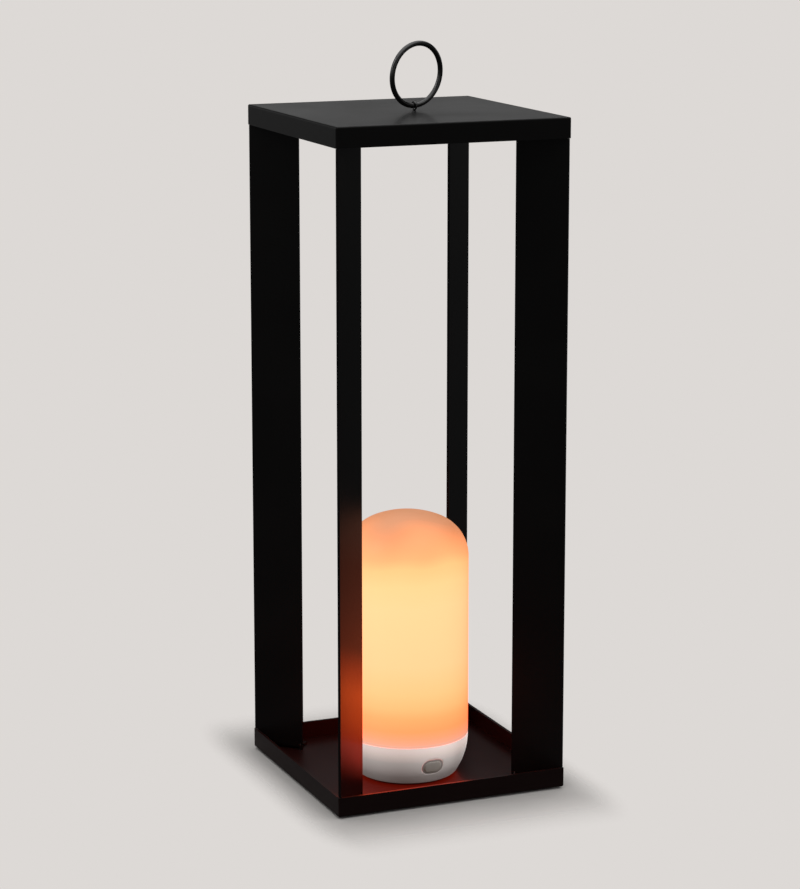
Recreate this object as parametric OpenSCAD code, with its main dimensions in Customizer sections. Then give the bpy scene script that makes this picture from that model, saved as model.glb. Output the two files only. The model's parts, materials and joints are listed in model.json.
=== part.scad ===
// Lantern table lamp: a square sheet-metal lantern with four diagonal flat-bar
// uprights and a ring on top, and a loose rechargeable lamp standing on its tray.
// Millimetres, +Z up. The origin is on the table under the middle of the lantern,
// and the front of the lantern, where the lamp's button looks, is -Y.

/* [Lantern frame] */
// Side of the square tray and of the square cover
frame_w = 180; // [160:1:260]
// Height of the cover's top above the table
frame_h = 500; // [340:1:800]
// Height of the folded tray
tray_h = 14.5; // [12:0.5:30]
// Depth of the folded cover
cover_h = 15; // [12:0.5:30]
// Thickness of the tray's and the cover's sheet
sheet_t = 2; // [1.8:0.1:3]
// Outer radius of the folds and of the ground corners
fold_r = 1.2; // [0.5:0.1:1.6]

/* [Uprights] */
// Width of the flat bar, measured along the diagonal
bar_w = 40; // [34:1:55]
// Thickness of the flat bar
bar_t = 2; // [1.5:0.5:4]
// Gap from the frame's corner to the bar's outer edge, along the diagonal
bar_inset = 1.5; // [1:0.1:4]
// Width of the foot that is bent from each end of the bar
foot_w = 20; // [18:0.5:24]
// Reach of the bent foot from the bar's middle plane
foot_l = 14.5; // [12.5:0.5:16]
// Distance from the bar's inner edge to the bent foot
foot_setback = 3; // [2:0.5:4]
// Inner radius of the foot's bend
bend_r = 1.5; // [1:0.1:2]
// Width of the relief cut on each side of the bend
relief_w = 1.5; // [1:0.1:2]

/* [Rubber pads] */
// Diameter of the pads under the tray
pad_d = 12; // [10:1:14]
// Thickness of the pads
pad_t = 1.5; // [1:0.5:4]
// Distance from the tray's side to a pad's middle
pad_setback = 11.5; // [11:0.5:14]

/* [Ring and eye] */
// Diameter of the ring, measured at the middle of its wire
ring_d = 45.6; // [40:0.2:70]
// Diameter of the ring's wire
ring_wire = 3.8; // [3:0.1:4]
// Turn of the ring's plane about the vertical, from +X towards +Y
ring_turn = 17.5; // [-45:0.5:45]
// Lean of the ring's plane from the upright, towards the front
ring_lean = 6; // [0:1:20]
// Place of the eye, to the right of the cover's middle
eye_x = 6.5; // [-10:0.5:10]
// Gap between the cover and the underside of the eye's loop
eye_lift = 0; // [0:0.1:1.5]
// Diameter of the eye's wire
eye_wire = 1.2; // [1:0.1:1.4]
// Diameter of the eye's loop, measured at the middle of its wire
eye_d = 5.6; // [5.5:0.1:6.5]
// Length of each leg that is spread under the washer
eye_leg = 4; // [3:0.5:6]
// Diameter of the washer under the eye
washer_d = 10; // [8:0.5:14]
// Thickness of the washer
washer_t = 1; // [0.5:0.1:1.5]

/* [Lamp] */
// Diameter of the lamp
lamp_d = 92; // [88:1:110]
// Height of the lamp above the tray's floor
lamp_h = 200.5; // [185:0.5:260]
// Place of the lamp's axis, to the right of the lantern's middle
lamp_x = -5; // [-10:0.5:10]
// Place of the lamp's axis, behind the lantern's middle
lamp_y = -14; // [-18:0.5:10]
// Turn of the lamp about its axis, from the front towards +X
lamp_turn = 3.5; // [-30:0.5:30]
// Height of the seam between base and diffuser
seam_h = 31; // [29:0.5:36]
// Height of the diffuser's domed top
dome_h = 34; // [24:1:45]
// Radius of the dome's shoulder; the crown between the shoulders is flatter
shoulder_r = 31; // [18:0.5:32]
// Wall of the diffuser
diffuser_t = 2; // [1.5:0.1:2.5]
// Length of the diffuser's neck inside the base
neck_l = 4; // [3:0.1:4.2]

/* [Lamp base] */
// Wall of the base
base_t = 2.2; // [1.8:0.1:2.6]
// Thickness of the base's floor
base_floor_t = 2.6; // [2.4:0.1:3.2]
// Radius of the base's rounded side
base_round = 50; // [46:0.5:70]
// Height of the straight band under the seam
base_band = 1.2; // [0.6:0.1:2]
// Radius of the edge between the rounded side and the floor
base_edge_r = 3; // [2.4:0.1:5]
// Diameter of the plate that closes the base's floor
plate_d = 48; // [44:0.5:50]
// Thickness of that plate
plate_t = 2; // [1.8:0.1:2.2]
// Width of the ledge that the plate is screwed to
ledge_w = 6; // [5.5:0.5:8]
// Thickness of the ledge
ledge_t = 3; // [2.5:0.5:4]
// Diameter of the rubber foot, measured at the middle of its ring
foot_ring_d = 60; // [58:0.5:64]
// Width of the rubber foot
foot_ring_w = 6; // [4:0.5:6]
// Thickness of the rubber foot
foot_ring_t = 1.8; // [1.4:0.1:2]
// Height that the rubber foot stands out below the base
foot_proud = 0.8; // [0.4:0.1:1]

/* [Button] */
// Width of the oval button
button_w = 14; // [13:0.1:15]
// Height of the oval button, from its lower to its upper edge
button_tall = 9; // [8.5:0.1:11]
// Height of the button's middle above the tray's floor
button_h = 14.9; // [12:0.1:15]
// Radius of the button's domed face
button_dome = 42; // [30:1:80]
// Height that the button's middle stands out of the base
button_proud = 0.5; // [0.3:0.1:1]
// Travel of the button
button_travel = 0.6; // [0.3:0.1:0.8]
// Length of the sleeve that guides the button
sleeve_l = 4.5; // [4:0.1:5]
// Wall of that sleeve
sleeve_t = 1.6; // [1.2:0.1:2]
// Width of the button's rear flange beyond the button's outline
flange_w = 1.1; // [0.8:0.1:1.4]
// Thickness of the rear flange
flange_t = 0.9; // [0.7:0.1:1.2]
// Width of the rubber seal round the button
seal_w = 1.5; // [1:0.1:2]
// Thickness of the seal
seal_t = 1.3; // [1:0.1:1.5]
// Side of the square switch behind the button
switch_w = 6; // [5:0.1:7]
// Depth of the switch
switch_t = 3; // [2.5:0.1:3.5]
// Diameter of the switch's plunger
plunger_d = 3.3; // [2.5:0.1:3.5]
// Length of the plunger outside the switch
plunger_out = 1; // [0.9:0.1:1.2]
// Length of the plunger inside the switch
plunger_in = 1; // [0.8:0.1:1.2]
// Height of the small board that carries the switch
switch_board_h = 9; // [7:0.5:9.5]
// Thickness of that board
switch_board_t = 1.2; // [0.8:0.1:1.4]
// Thickness of the ribs that hold that board
rib_t = 1.6; // [1.2:0.1:2]
// Depth of the slots in those ribs
rib_slot = 0.6; // [0.3:0.1:0.8]

/* [Light column] */
// Thickness of the white deck over the base
deck_t = 2; // [1.5:0.1:2.4]
// Width of the hexagonal column across its flats
core_af = 30; // [28:0.5:34]
// Height of the column above the deck
core_h = 141; // [120:1:150]
// Diameter of the column's flange
core_flange_d = 50; // [46:1:56]
// Thickness of the column's flange
core_flange_t = 2.5; // [2:0.1:3]
// Thickness of the column's cap
cap_t = 3; // [2:0.5:5]
// Diameter of the cap
cap_d = 38; // [36:0.5:44]
// Length of the cap's spigot inside the column
cap_spigot_l = 6; // [4:0.5:10]
// Width of an LED strip
strip_w = 9; // [8:0.5:12]
// Thickness of an LED strip
strip_t = 0.4; // [0.3:0.1:0.6]
// Gap from each end of the column to the strips
strip_gap = 6; // [4:0.5:10]
// Size of one LED along the strip
led_l = 2.8; // [2:0.1:3.5]
// Size of one LED across the strip
led_w = 3.5; // [2:0.1:4]
// Thickness of one LED
led_t = 0.8; // [0.5:0.1:1.5]
// Number of LEDs on each strip
led_count = 9; // [4:1:14]

/* [Battery and board] */
// Diameter of the cell
cell_d = 18.4; // [18:0.1:18.6]
// Length of the cell
cell_l = 65; // [64:0.5:70]
// Diameter of the cell's top contact
cell_nub_d = 6; // [5:0.1:7]
// Height of the cell's top contact
cell_nub_h = 1; // [0.5:0.1:1.5]
// Thickness of the contact discs
contact_t = 0.4; // [0.3:0.1:0.6]
// Diameter of the contact discs
contact_d = 16; // [12:0.5:18]
// Diameter of the control board
board_d = 68; // [64:0.5:70]
// Thickness of the control board
board_t = 1.6; // [1:0.1:1.6]
// Height of the control board above the tray's floor
board_h = 14; // [13:0.1:15]
// Width of the board's tongue under the charging socket
tongue_w = 14; // [12:0.5:16]
// Side of the charging chip on the board
charge_chip_w = 8; // [5:0.5:10]
// Side of the driver chip on the board
drive_chip_w = 6; // [4:0.5:8]
// Thickness of both chips
chip_t = 1.2; // [0.8:0.1:1.5]
// Side of the driver's choke
choke_w = 7; // [5:0.5:8]
// Height of the choke
choke_h = 4; // [2.5:0.1:4.5]
// Distance from the board's middle to the chips and the choke
chip_r = 16; // [15:0.5:18]
// Width of the charging socket's shell
socket_w = 8.94; // [8.94:0.01:9]
// Height of the charging socket's shell
socket_h = 3.26; // [3.26:0.01:3.3]
// Length of the charging socket's shell
socket_l = 7.3; // [6.5:0.1:8]
// Wall of the charging socket's shell
socket_t = 0.3; // [0.2:0.05:0.35]
// Width of the contact tongue inside the socket
contact_tongue_w = 6.7; // [6:0.1:6.8]
// Thickness of that tongue
contact_tongue_t = 0.7; // [0.6:0.05:0.8]
// Setback of that tongue from the socket's mouth
socket_tongue_gap = 1.4; // [0.8:0.1:2]
// Setback of the socket's mouth from the base's outer face
socket_setback = 0.8; // [0.5:0.1:1]
// Width of the recess round the socket, beyond the socket
recess_w = 1.8; // [1.5:0.1:2.2]
// Depth of that recess
recess_depth = 0.8; // [0.5:0.1:1]
// Diameter of the three posts under the board
post_d = 8; // [7:0.5:9]
// Diameter of the same posts above the board
post_top_d = 5; // [4.5:0.1:5.5]
// Distance from the lamp's axis to the posts
post_r = 29; // [28:0.5:29.5]

/* [Fasteners] */
// Diameter of the frame's screws and studs
screw_d = 3; // [2.5:0.5:3]
// Diameter of the frame screws' countersunk heads
screw_head_d = 6; // [5:0.1:6.2]
// Height of those heads
screw_head_h = 1.7; // [1.2:0.1:1.7]
// Size of the frame nuts across their flats
nut_af = 5.5; // [5:0.1:6]
// Thickness of the frame nuts
nut_t = 2.4; // [2:0.1:3]
// Length that each stud stands out of its nut
stud_spare = 1; // [0.5:0.5:3]
// Diameter of the lamp's small screws
small_screw_d = 2; // [1.6:0.1:2.2]
// Diameter of the small screws' heads
small_head_d = 3.8; // [3.4:0.1:4]
// Height of the small screws' heads
small_head_h = 1.1; // [0.8:0.1:1.3]
// Length of the small screws under their heads
small_screw_l = 5; // [4:0.5:6]

/* [Fits] */
// Gap between a foot or a bar's end and the rim round it
seat_gap = 0.3; // [0.1:0.05:0.6]
// Radial gap round a screw, a stud or a pin
hole_gap = 0.1; // [0.05:0.05:0.3]
// Gap between parts that slip into one another
slip_gap = 0.15; // [0.1:0.05:0.3]
// Air between the lamp's rubber foot and the tray
rest_gap = 0.2; // [0.1:0.05:0.3]

/* [Hidden] */
$fn = 64;
// A cutting tool reaches this far past the faces that it opens
past = 1;
// The arcs of a section overlap by this angle inside it
lap = 20;

black = [0.09, 0.09, 0.09];
white = [0.92, 0.91, 0.88];
opal = [1.0, 0.93, 0.78];
steel = [0.62, 0.62, 0.64];
rubber = [0.12, 0.12, 0.12];
grey = [0.55, 0.56, 0.57];
board_green = [0.08, 0.33, 0.18];

// Heights of the frame
floor_z = pad_t + sheet_t;
ceiling_z = frame_h - sheet_t;
rim_z = pad_t + tray_h;
skirt_z = frame_h - cover_h;
inside_w = frame_w - 2 * sheet_t;

// The bars stand on the diagonals; these are distances from the middle
bar_out = frame_w / sqrt(2) - bar_inset;
bar_in = bar_out - bar_w;
notch_out = sqrt(2) * (inside_w / 2 - seat_gap) - bar_t / 2;
foot_x0 = bar_in + foot_setback;
foot_x1 = foot_x0 + foot_w;
fixing_y = (bar_t / 2 + bend_r + foot_l) / 2;
fixing_in = foot_x0 + foot_w / 4;
fixing_out = foot_x1 - foot_w / 4;

// Each corner: angle of its diagonal, and the side that its feet are bent to
front_left = [225, -1];
front_right = [315, 1];
back_right = [45, 1];
back_left = [135, -1];
corners = [front_left, front_right, back_right, back_left];

// The ring's lowest point is in the middle of the eye
eye_z = frame_h + eye_lift + (eye_d + eye_wire) / 2;

// Heights inside the lamp, above the face that its rubber foot stands on
lamp_z = floor_z + rest_gap;
lamp_r = lamp_d / 2;
arc_z = seam_h - base_band;
arc_x = lamp_r - base_round;
deck_z = seam_h - neck_l - slip_gap;
core_z = deck_z + deck_t;
cell_z = core_z + contact_t + slip_gap;
bore_top = cell_z + cell_l + cell_nub_h + contact_t + 3 * slip_gap;
core_top = core_z + core_h;
core_screw_r = (core_af + core_flange_d) / 4;
plate_screw_r = (plate_d - ledge_w) / 2;
neck_r = lamp_r - base_t - slip_gap;
deck_r = neck_r - diffuser_t - slip_gap;

// The dome's crown runs smoothly into its shoulder: both arcs share one tangent there
shoulder_x = lamp_r - shoulder_r;
shoulder_z = lamp_h - dome_h;
crown_r = (pow(lamp_r, 2) + pow(dome_h, 2) - 2 * lamp_r * shoulder_r) / (2 * (dome_h - shoulder_r));
crown_z = lamp_h - crown_r;
crown_turn = atan2(shoulder_x, shoulder_z - crown_z);

// The button's axis is square to the base's rounded side
button_tilt = asin((arc_z - button_h) / base_round);
button_y = arc_x + base_round * cos(button_tilt);
flange_z = sleeve_l + slip_gap;
button_back = flange_z + flange_t;
switch_z = button_back + plunger_out;
board_back = switch_z + switch_t + switch_board_t;
seal_drop = pow((button_w + seal_w) / 2, 2) / lamp_d;
rib_x = button_w / 2 + flange_w + 2 * slip_gap;

// The socket sits on the back of the control board
socket_z = board_h + board_t + socket_h / 2;
socket_y = arc_x + base_round * cos(asin((arc_z - socket_z) / base_round)) - socket_setback;

// The part of a disc of radius r that lies between angle a and angle b
module pie(r, a, b) {
    far = 2 * r;
    intersection() {
        circle(r, $fn = 240);
        polygon(concat([[0, 0]], [for (turn = [a, (a + b) / 2, b]) far * [cos(turn), sin(turn)]]));
    }
}

// Half section of the base's bowl: floor, rounded edge, rounded side and straight band
module bowl_section(inset, edge_r, floor_h, top_h) {
    side_r = lamp_r - inset;
    round_r = base_round - inset;
    edge_z = floor_h + edge_r;
    turn = asin((arc_z - edge_z) / (round_r - edge_r));
    edge_x = arc_x + (round_r - edge_r) * cos(turn);
    translate([0, floor_h]) square([edge_x, top_h - floor_h]);
    translate([0, arc_z]) square([side_r, top_h - arc_z]);
    intersection() {
        translate([arc_x, arc_z]) pie(round_r, -turn, 0);
        translate([0, floor_h]) square([side_r, top_h]);
    }
    translate([edge_x, edge_z]) circle(edge_r, $fn = 240);
}

// Half section under the diffuser's dome: straight side, shoulder and crown
module dome_section(inset, bottom) {
    translate([0, bottom]) square([lamp_r - inset, shoulder_z - bottom]);
    translate([shoulder_x, shoulder_z]) pie(shoulder_r - inset, -lap, 90 - crown_turn + lap);
    translate([0, crown_z]) pie(crown_r - inset, 90 - crown_turn, 90);
}

// A block whose sides and lower edges are rounded
module soft_block(w, h, r) {
    inner = w - 2 * r;
    for (s = [[w, inner], [inner, w]])
        translate([-s[0] / 2, -s[1] / 2, r]) cube([s[0], s[1], h - r]);
    translate([-inner / 2, -inner / 2, 0]) cube([inner, inner, h]);
    for (a = [0 : 90 : 270]) rotate(a) {
        translate([inner / 2, inner / 2, r]) cylinder(r = r, h = h - r);
        translate([inner / 2, inner / 2, r]) sphere(r);
        translate([-inner / 2, inner / 2, r]) rotate([0, 90, 0]) cylinder(r = r, h = inner);
    }
}

// A folded pan, open at the top
module pan(h) {
    difference() {
        soft_block(frame_w, h, fold_r);
        translate([-inside_w / 2, -inside_w / 2, sheet_t]) cube([inside_w, inside_w, h]);
    }
}

// Places its children at both fixings of every bent foot
module at_fixings() {
    for (c = corners, x = [fixing_in, fixing_out])
        rotate(c[0]) translate([x, c[1] * fixing_y, 0]) children();
}

module at_eye() {
    translate([eye_x, 0, 0]) children();
}

module at_lamp() {
    translate([lamp_x, lamp_y, lamp_z]) rotate(lamp_turn) children();
}

// Outward along +Z from the button's middle on the base's rounded side
module at_button() {
    at_lamp() translate([0, -button_y, button_h]) rotate([90 + button_tilt, 0, 0]) children();
}

// A shape with round ends, w by h
module stadium(w, h) {
    square([w - h, h], center = true);
    for (s = [-1, 1]) translate([s * (w - h) / 2, 0]) circle(d = h);
}

// A post with the button's outline, wider by a margin all round
module button_post(margin, bottom, top) {
    translate([0, 0, bottom]) linear_extrude(top - bottom)
        stadium(button_w + 2 * margin, button_tall + 2 * margin);
}

// A countersunk screw, head down, with a hexagon socket
module countersunk_screw(d, head, head_h, l) {
    difference() {
        union() {
            cylinder(d1 = head, d2 = d, h = head_h);
            cylinder(d = d, h = l);
        }
        translate([0, 0, -past]) cylinder(d = head / 3, h = head_h * 0.7 + past, $fn = 6);
    }
}

// A small pan-head screw: its thread runs down from z = 0, its head stands on z = 0
module small_screw() {
    difference() {
        union() {
            cylinder(d = small_head_d, h = small_head_h);
            translate([0, 0, -small_screw_l]) cylinder(d = small_screw_d, h = small_screw_l + past / 2);
        }
        for (a = [0, 90]) rotate(a) translate([0, 0, small_head_h])
            cube([small_head_d * 0.6, 0.5, small_head_h], center = true);
    }
}

module small_screw_hole() {
    translate([0, 0, -small_screw_l - past / 2])
        cylinder(r = small_screw_d / 2 + hole_gap, h = small_screw_l + 2 * past);
}

// ---- Lantern ----

module base_tray() {
    color(black) difference() {
        translate([0, 0, pad_t]) pan(tray_h);
        at_fixings() {
            translate([0, 0, pad_t - past])
                cylinder(r = screw_d / 2 + hole_gap, h = sheet_t + 2 * past);
            translate([0, 0, pad_t])
                cylinder(r1 = screw_head_d / 2 + hole_gap, r2 = screw_d / 2 + hole_gap, h = screw_head_h);
        }
    }
}

module top_cover() {
    color(black) difference() {
        translate([0, 0, frame_h]) mirror([0, 0, 1]) pan(cover_h);
        at_eye() translate([0, 0, ceiling_z - past])
            cylinder(r = eye_wire + 2 * hole_gap, h = sheet_t + 2 * past);
    }
}

// The bent foot in section: it lies on y = 0 and turns up into the bar
module foot_section() {
    outer = bend_r + bar_t;
    translate([-bar_t / 2, outer]) square([bar_t, relief_w]);
    translate([outer - bar_t / 2, 0]) square([foot_l - outer + bar_t / 2, bar_t]);
    intersection() {
        translate([outer - bar_t / 2, outer]) difference() {
            circle(outer);
            circle(bend_r);
        }
        translate([-bar_t / 2, 0]) square(outer);
    }
}

// One end of the bar: notched outside for the rim, with the foot bent from its middle
module bar_end(rim_h) {
    outer = bend_r + bar_t;
    rotate([90, 0, 0]) translate([0, 0, -bar_t / 2]) linear_extrude(bar_t) difference() {
        translate([bar_in, 0]) square([bar_w, rim_h + foot_l]);
        translate([notch_out, -past]) square([bar_w, rim_h + seat_gap + past]);
        translate([foot_x0 - relief_w, -past])
            square([foot_w + 2 * relief_w, outer + relief_w + past]);
    }
    translate([foot_x0, 0, 0]) rotate([90, 0, 90]) linear_extrude(foot_w) foot_section();
}

module upright(corner) {
    rise = ceiling_z - floor_z;
    color(black) rotate(corner[0]) scale([1, corner[1], 1]) difference() {
        union() {
            translate([0, 0, floor_z]) bar_end(rim_z - floor_z);
            translate([0, 0, ceiling_z]) mirror([0, 0, 1]) bar_end(ceiling_z - skirt_z);
            translate([bar_in, -bar_t / 2, rim_z + foot_l / 2])
                cube([bar_w, bar_t, rise - (rim_z - floor_z) - (ceiling_z - skirt_z) - foot_l]);
        }
        for (x = [fixing_in, fixing_out], z = [floor_z, ceiling_z - bar_t])
            translate([x, fixing_y, z - past])
                cylinder(r = screw_d / 2 + hole_gap, h = bar_t + 2 * past);
    }
}

module upright_front_left() { upright(front_left); }

module upright_front_right() { upright(front_right); }

module upright_back_right() { upright(back_right); }

module upright_back_left() { upright(back_left); }

module tray_screws() {
    color(steel) at_fixings() translate([0, 0, pad_t])
        countersunk_screw(screw_d, screw_head_d, screw_head_h, sheet_t + bar_t);
}

module cover_studs() {
    stud_l = bar_t + nut_t + stud_spare;
    color(steel) at_fixings() translate([0, 0, ceiling_z - stud_l]) cylinder(d = screw_d, h = stud_l);
}

module cover_nuts() {
    color(steel) at_fixings() translate([0, 0, ceiling_z - bar_t - nut_t]) difference() {
        cylinder(d = nut_af / cos(30), h = nut_t, $fn = 6);
        translate([0, 0, -past]) cylinder(r = screw_d / 2 + hole_gap, h = nut_t + 2 * past);
    }
}

module foot_pads() {
    at = frame_w / 2 - pad_setback;
    color(rubber) for (x = [-at, at], y = [-at, at]) translate([x, y, 0]) cylinder(d = pad_d, h = pad_t);
}

// A split pin: an open loop, two legs side by side, and their ends spread under the washer.
// A small knuckle joins the loop to each leg.
module ring_eye() {
    leg_x = eye_wire / 2 + hole_gap / 2;
    gap = asin(2 * leg_x / eye_d);
    leg_top = eye_z - eye_d / 2 * cos(gap);
    spread_z = ceiling_z - washer_t - eye_wire;
    color(black) at_eye() rotate(ring_turn + 90) {
        translate([0, 0, eye_z]) rotate([90, 0, 0]) rotate(gap - 90)
            rotate_extrude(angle = 360 - 2 * gap) translate([eye_d / 2, 0]) circle(d = eye_wire);
        for (s = [-1, 1]) scale([s, 1, 1]) {
            translate([leg_x, 0, leg_top]) sphere(d = eye_wire + hole_gap);
            translate([leg_x, 0, spread_z]) cylinder(d = eye_wire, h = leg_top - spread_z);
            translate([leg_x + eye_wire, 0, spread_z]) rotate([90, 0, 0]) rotate(180)
                rotate_extrude(angle = 90) translate([eye_wire, 0]) circle(d = eye_wire);
            translate([leg_x + eye_wire, 0, spread_z - eye_wire]) rotate([0, 90, 0])
                cylinder(d = eye_wire, h = eye_leg);
        }
    }
}

module eye_washer() {
    color(steel) at_eye() translate([0, 0, ceiling_z - washer_t]) difference() {
        cylinder(d = washer_d, h = washer_t);
        translate([0, 0, -past]) cylinder(r = eye_wire + 2 * hole_gap, h = washer_t + 2 * past);
    }
}

module carry_ring() {
    color(black) at_eye() translate([0, 0, eye_z]) rotate(ring_turn) rotate([90 + ring_lean, 0, 0])
        translate([0, ring_d / 2, 0]) rotate_extrude() translate([ring_d / 2, 0]) circle(d = ring_wire);
}

// ---- Lamp base ----

module bowl_solid(inset, edge_r, floor_h, top_h) {
    rotate_extrude() bowl_section(inset, edge_r, floor_h, top_h);
}

// Ribs beside the switch's board, behind the button's sleeve
module switch_ribs() {
    for (s = [-1, 1]) translate([s * (rib_x + rib_t / 2), 0, -(board_back + rib_t) / 2])
        cube([rib_t, switch_board_h, board_back + rib_t], center = true);
}

module base_fittings() {
    for (a = [0, 120, 240]) rotate(a) translate([post_r, 0, 0]) {
        cylinder(d = post_d, h = board_h);
        cylinder(d = post_top_d, h = deck_z);
    }
    translate([0, 0, foot_proud + plate_t]) cylinder(d = plate_d + 2 * base_t, h = ledge_t);
    translate([0, -button_y, button_h]) rotate([90 + button_tilt, 0, 0]) {
        button_post(slip_gap + sleeve_t, -sleeve_l, past);
        switch_ribs();
    }
}

module lamp_base() {
    color(white) at_lamp() difference() {
        union() {
            difference() {
                bowl_solid(0, base_edge_r, foot_proud, seam_h);
                bowl_solid(base_t, base_edge_r - base_t / 2, foot_proud + base_floor_t, seam_h + past);
            }
            intersection() {
                bowl_solid(base_t / 2, base_edge_r - base_t / 2, foot_proud + past / 2, seam_h);
                base_fittings();
            }
        }
        // Opening for the plate, and the ledge's bore
        translate([0, 0, foot_proud - past]) cylinder(d = plate_d + 2 * slip_gap, h = plate_t + past);
        cylinder(d = plate_d - 2 * ledge_w, h = seam_h);
        // Groove for the rubber foot
        translate([0, 0, foot_proud - past]) difference() {
            cylinder(d = foot_ring_d + foot_ring_w + slip_gap, h = foot_ring_t - foot_proud + past);
            cylinder(d = foot_ring_d - foot_ring_w - slip_gap, h = foot_ring_t + past);
        }
        // Bore for the button, seat for its seal, and room behind its sleeve
        translate([0, -button_y, button_h]) rotate([90 + button_tilt, 0, 0]) {
            button_post(slip_gap, -sleeve_l - past, 4 * past);
            button_post(slip_gap + seal_w, -seal_drop - seal_t, 4 * past);
            translate([-rib_x - rib_slot, -switch_board_h / 2 - past, -board_back - slip_gap / 2])
                cube([2 * (rib_x + rib_slot), switch_board_h + 2 * past, switch_board_t + slip_gap]);
        }
        // Window and recess for the charging socket
        translate([0, socket_y, socket_z]) rotate([90, 0, 0]) {
            translate([0, 0, -4 * past]) linear_extrude(socket_l + 4 * past)
                stadium(socket_w + 2 * slip_gap, socket_h + 2 * slip_gap);
            translate([0, 0, -4 * past]) linear_extrude(4 * past + recess_depth - socket_setback)
                stadium(socket_w + 2 * recess_w, socket_h + 2 * recess_w);
        }
        for (a = [0, 120, 240]) rotate(a) {
            translate([post_r, 0, deck_z]) small_screw_hole();
            translate([plate_screw_r, 0, foot_proud + plate_t]) mirror([0, 0, 1]) small_screw_hole();
        }
    }
}

module base_plate() {
    color(white) at_lamp() difference() {
        translate([0, 0, foot_proud]) cylinder(d = plate_d, h = plate_t);
        for (a = [0, 120, 240]) rotate(a)
            translate([plate_screw_r, 0, foot_proud + small_head_h]) mirror([0, 0, 1]) {
                small_screw_hole();
                cylinder(r = small_head_d / 2 + hole_gap, h = small_head_h + past);
            }
    }
}

module base_plate_screws() {
    color(steel) at_lamp() for (a = [0, 120, 240]) rotate(a)
        translate([plate_screw_r, 0, foot_proud + small_head_h]) mirror([0, 0, 1]) small_screw();
}

module rubber_foot() {
    color(rubber) at_lamp() difference() {
        cylinder(d = foot_ring_d + foot_ring_w, h = foot_ring_t);
        translate([0, 0, -past]) cylinder(d = foot_ring_d - foot_ring_w, h = foot_ring_t + 2 * past);
    }
}

// ---- Diffuser and light column ----

module diffuser() {
    neck_in = neck_r - diffuser_t;
    rim_top = seam_h + 2 * diffuser_t;
    color(opal) at_lamp() difference() {
        rotate_extrude() {
            dome_section(0, seam_h);
            translate([0, seam_h - neck_l]) square([neck_r, neck_l + past]);
        }
        // Inside, the wall is thicker at the neck
        rotate_extrude() {
            dome_section(diffuser_t, rim_top);
            polygon([[0, seam_h - neck_l - past], [neck_in, seam_h - neck_l - past],
                [neck_in, rim_top - diffuser_t], [lamp_r - diffuser_t, rim_top],
                [lamp_r - diffuser_t, rim_top + past], [0, rim_top + past]]);
        }
    }
}

module light_deck() {
    color(white) at_lamp() translate([0, 0, deck_z]) difference() {
        cylinder(r = deck_r, h = deck_t);
        for (a = [0, 120, 240]) rotate(a) translate([post_r, 0, deck_t]) small_screw_hole();
        for (a = [60, 180, 300]) rotate(a) translate([core_screw_r, 0, deck_t]) small_screw_hole();
        // Way for the wires up to the column
        translate([0, 0, -past]) cylinder(d = cell_nub_d, h = deck_t + 2 * past);
    }
}

module deck_screws() {
    color(steel) at_lamp() for (a = [0, 120, 240]) rotate(a)
        translate([post_r, 0, deck_z + deck_t]) small_screw();
}

// A hexagonal tube on a round flange: the cell stands in its lower bore
module light_column() {
    bore_r = cell_d / 2 + 3 * slip_gap;
    color(white) at_lamp() difference() {
        union() {
            translate([0, 0, core_z]) cylinder(d = core_af / cos(30), h = core_h, $fn = 6);
            translate([0, 0, core_z]) cylinder(d = core_flange_d, h = core_flange_t);
        }
        translate([0, 0, core_z - past]) cylinder(r = bore_r, h = bore_top - core_z + past);
        translate([0, 0, bore_top + 2 * diffuser_t]) cylinder(r = bore_r, h = core_top - bore_top);
        for (a = [60, 180, 300]) rotate(a)
            translate([core_screw_r, 0, core_z + core_flange_t]) small_screw_hole();
    }
}

module column_screws() {
    color(steel) at_lamp() for (a = [60, 180, 300]) rotate(a)
        translate([core_screw_r, 0, core_z + core_flange_t]) small_screw();
}

module led_strips() {
    run = core_h - core_flange_t - 2 * strip_gap;
    color(opal) at_lamp() for (a = [30 : 60 : 330]) rotate(a)
        translate([core_af / 2, 0, core_z + core_flange_t + strip_gap]) {
            translate([0, -strip_w / 2, 0]) cube([strip_t, strip_w, run]);
            for (i = [0 : led_count - 1])
                translate([strip_t / 2, -led_w / 2, (i + 0.5) * run / led_count - led_l / 2])
                    cube([strip_t / 2 + led_t, led_w, led_l]);
        }
}

module column_cap() {
    color(white) at_lamp() translate([0, 0, core_top]) {
        cylinder(d1 = cap_d, d2 = core_af, h = cap_t);
        translate([0, 0, -cap_spigot_l]) cylinder(r = cell_d / 2 + slip_gap, h = cap_spigot_l + past);
    }
}

// ---- Battery, board and socket ----

module battery_cell() {
    color(steel) at_lamp() translate([0, 0, cell_z]) {
        cylinder(d = cell_d, h = cell_l);
        cylinder(d = cell_nub_d, h = cell_l + cell_nub_h);
    }
}

module battery_contacts() {
    color(steel) at_lamp() for (z = [core_z, bore_top - contact_t])
        translate([0, 0, z]) cylinder(d = contact_d, h = contact_t);
}

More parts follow.
